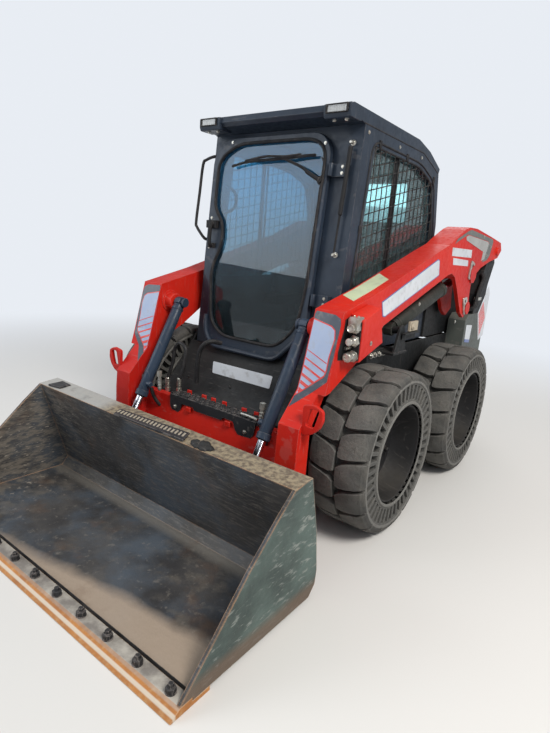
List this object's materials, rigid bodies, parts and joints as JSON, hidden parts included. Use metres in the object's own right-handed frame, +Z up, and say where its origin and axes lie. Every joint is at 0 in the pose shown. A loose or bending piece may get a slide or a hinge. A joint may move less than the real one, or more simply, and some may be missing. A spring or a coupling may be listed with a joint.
{
  "type": "skid steer loader",
  "caption": "Wheeled skid steer loader with caged cab, long radial lift arms over the wheels, hydraulic cylinders, glazed front door and a wide dirt bucket.",
  "frame": {"origin": "on the ground, under the middle of the whole machine with its bucket", "axes": "+Z up, -Y towards the bucket's lip and the front, +X towards the operator's left hand"},
  "size_m": [1.78, 3.557, 2.051],
  "materials": {
    "tyre": "dusty rubber",
    "rim_black": "satin",
    "frame_black": "satin, dusty",
    "engine_grey": "rough",
    "cab_black": "satin",
    "trim_black": "matte",
    "glass_blue": "tinted",
    "glass_clear": "clear",
    "wire_black": "matte",
    "lamp_clear": "glossy",
    "lamp_red": "glossy",
    "seat_black": "matte",
    "arm_red": "weathered gloss",
    "pin_zinc": "zinc plated",
    "barrel_slate": "satin",
    "rod_chrome": "polished",
    "bucket_worn": "scratched and worn",
    "edge_steel": "worn, rusty",
    "step_black": "worn"
  },
  "bodies": {
    "chassis": {"main_frame": "frame_black", "rear_quarters": "frame_black", "arm_towers": "frame_black", "lift_brackets": "frame_black", "axle_stubs": "frame_black", "engine_block": "engine_grey", "hood": "frame_black", "rear_bumper": "frame_black", "rear_lamps": "lamp_red", "cab_shell": "cab_black", "side_glass": "glass_clear", "side_screens": "wire_black", "cab_roof": "cab_black", "rear_glass": "glass_clear", "work_lamps": "lamp_clear", "seat": "seat_black", "seat_pedestal": "cab_black", "controls": "trim_black", "door_hinges": "cab_black"},
    "lift_arms": {"left_arm": "arm_red", "right_arm": "arm_red", "arm_pins": "pin_zinc", "arm_beam": "arm_red", "step_plate": "step_black", "tilt_brackets": "arm_red", "coupler_block": "pin_zinc"},
    "lift_barrels": {"lift_barrels": "barrel_slate"},
    "lift_rods": {"lift_rods": "rod_chrome"},
    "tilt_barrels": {"tilt_barrels": "barrel_slate"},
    "tilt_rods": {"tilt_rods": "rod_chrome"},
    "bucket": {"attach_plate": "frame_black", "bucket_shell": "bucket_worn", "cutting_edge": "edge_steel"},
    "cab_door": {"door_frame": "cab_black", "door_glass": "glass_blue", "door_handle": "trim_black"},
    "rear_door": {"rear_door": "frame_black"},
    "front_left_wheel": {"front_left_tyre": "tyre", "front_left_rim": "rim_black"},
    "front_right_wheel": {"front_right_tyre": "tyre", "front_right_rim": "rim_black"},
    "rear_left_wheel": {"rear_left_tyre": "tyre", "rear_left_rim": "rim_black"},
    "rear_right_wheel": {"rear_right_tyre": "tyre", "rear_right_rim": "rim_black"}
  },
  "joints": [
    {"name": "arm_lift", "type": "hinge", "parent": "chassis", "child": "lift_arms", "pos_m": [0, 1.64, 1.48], "axis": [-1, 0, 0], "range_deg": [0, 60]},
    {"name": "lift_barrel_swing", "type": "hinge", "parent": "chassis", "child": "lift_barrels", "pos_m": [0, 0, 0.992], "axis": [1, 0, 0], "range_deg": [0, 20.24]},
    {"name": "lift_rod_slide", "type": "slide", "parent": "lift_barrels", "child": "lift_rods", "axis": [0, 0.9625, 0.2712], "range_m": [0, 0.3523]},
    {"name": "bucket_tilt", "type": "hinge", "parent": "lift_arms", "child": "bucket", "pos_m": [0, -0.89, 0.165], "axis": [-1, 0, 0], "range_deg": [-90, 20]},
    {"name": "tilt_barrel_swing", "type": "hinge", "parent": "lift_arms", "child": "tilt_barrels", "pos_m": [0, -0.59, 1.03], "axis": [1, 0, 0], "range_deg": [-0.55, 0.73]},
    {"name": "tilt_rod_slide", "type": "slide", "parent": "tilt_barrels", "child": "tilt_rods", "axis": [0, -0.4679, -0.8838], "range_m": [-0.0631, 0.277]},
    {"name": "cab_door_hinge", "type": "hinge", "parent": "chassis", "child": "cab_door", "pos_m": [0.35, -0.43986, 0.77529], "axis": [0, 0.0822, 0.9966], "range_deg": [0, 90]},
    {"name": "rear_door_hinge", "type": "hinge", "parent": "chassis", "child": "rear_door", "pos_m": [-0.494, 1.768, 0.9], "axis": [0, 0, 1], "range_deg": [0, 100]},
    {"name": "front_left_spin", "type": "hinge", "parent": "chassis", "child": "front_left_wheel", "pos_m": [0.7375, -0.29, 0.419], "axis": [1, 0, 0], "continuous": true},
    {"name": "front_right_spin", "type": "hinge", "parent": "chassis", "child": "front_right_wheel", "pos_m": [-0.7375, -0.29, 0.419], "axis": [1, 0, 0], "continuous": true},
    {"name": "rear_left_spin", "type": "hinge", "parent": "chassis", "child": "rear_left_wheel", "pos_m": [0.7375, 0.782, 0.419], "axis": [1, 0, 0], "continuous": true},
    {"name": "rear_right_spin", "type": "hinge", "parent": "chassis", "child": "rear_right_wheel", "pos_m": [-0.7375, 0.782, 0.419], "axis": [1, 0, 0], "continuous": true}
  ],
  "couplings": [
    {"joint": "lift_barrel_swing", "follows": "arm_lift", "ratio": 0.32904},
    {"joint": "lift_rod_slide", "follows": "arm_lift", "m_per_rad": 0.33448},
    {"joint": "tilt_barrel_swing", "follows": "bucket_tilt", "ratio": -0.00254},
    {"joint": "tilt_rod_slide", "follows": "bucket_tilt", "m_per_rad": -0.17508}
  ]
}
